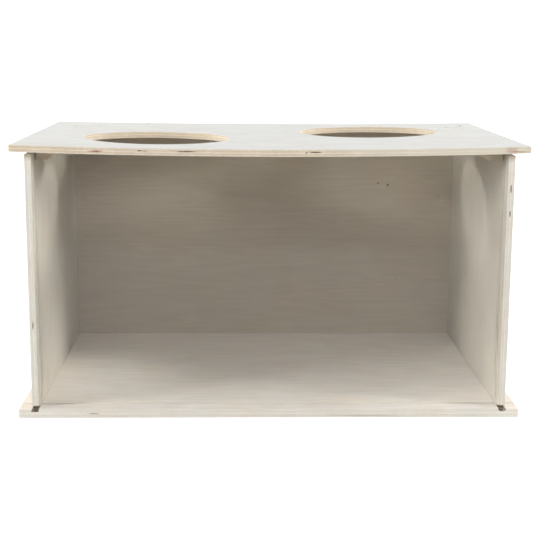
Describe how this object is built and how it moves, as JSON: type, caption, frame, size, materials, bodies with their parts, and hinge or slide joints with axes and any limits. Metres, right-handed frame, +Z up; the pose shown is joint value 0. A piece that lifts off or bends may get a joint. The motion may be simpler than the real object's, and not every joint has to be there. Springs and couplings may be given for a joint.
{
  "type": "small animal digging box",
  "caption": "Pale plywood digging box for small pets, with a clear sheet front held in grooves and a loose lid with round entry holes.",
  "frame": {"origin": "on the ground, under the middle of the whole box", "axes": "+Z up, +X to the right as seen from the clear front, +Y from the clear front towards the back panel"},
  "size_m": [0.58, 0.384, 0.3159],
  "materials": {
    "wall_board": "pale sanded plywood, unvarnished",
    "lid_board": "bleached sanded plywood, unvarnished",
    "clear_sheet": "clear polished acrylic sheet",
    "batten": "planed softwood",
    "screw": "zinc-plated"
  },
  "bodies": {
    "box": {"base_board": "wall_board", "left_side_panel": "wall_board", "right_side_panel": "wall_board", "back_panel": "wall_board", "base_screws": "screw"},
    "lid": {"lid_board": "lid_board", "left_lid_cleat": "batten", "right_lid_cleat": "batten", "cleat_screws": "screw"},
    "pane": {"front_pane": "clear_sheet"}
  },
  "joints": [
    {"name": "lid_lift", "type": "slide", "parent": "box", "child": "lid", "axis": [0, 0, 1], "range_m": [0, 0.4]},
    {"name": "pane_slide", "type": "slide", "parent": "box", "child": "pane", "axis": [0, 0, 1], "range_m": [0, 0.312]}
  ],
  "couplings": [
    {"joint": "pane_slide", "follows": "lid_lift", "ratio": 0.78}
  ]
}
